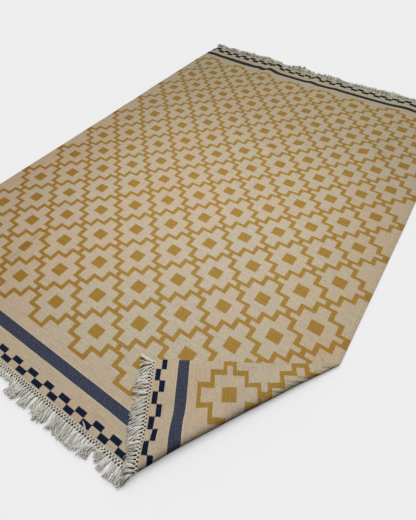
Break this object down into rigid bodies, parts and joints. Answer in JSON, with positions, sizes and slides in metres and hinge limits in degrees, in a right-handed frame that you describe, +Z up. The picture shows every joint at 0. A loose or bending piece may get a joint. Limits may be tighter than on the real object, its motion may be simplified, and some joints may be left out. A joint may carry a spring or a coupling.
{
  "type": "kilim rug",
  "caption": "Flat-woven kilim lying on the floor with one corner turned over, stepped medallion field, striped and chequered end borders and knotted fringes.",
  "frame": {"origin": "on the floor plane, under the middle of the whole piece, fringes included", "axes": "+X across the cloth, +Y along its length towards the end away from the turned corner, +Z up out of the face"},
  "size_m": [1.686, 2.5414, 0.0386],
  "materials": {
    "kilim_wool": "flat-woven wool, cream ground with ochre and indigo figures, matt",
    "fringe_cotton": "undyed twisted cotton warp ends, matt"
  },
  "bodies": {
    "root": {"kilim_cloth": "kilim_wool", "fringe_near": "fringe_cotton", "fringe_far": "fringe_cotton"}
  },
  "joints": []
}
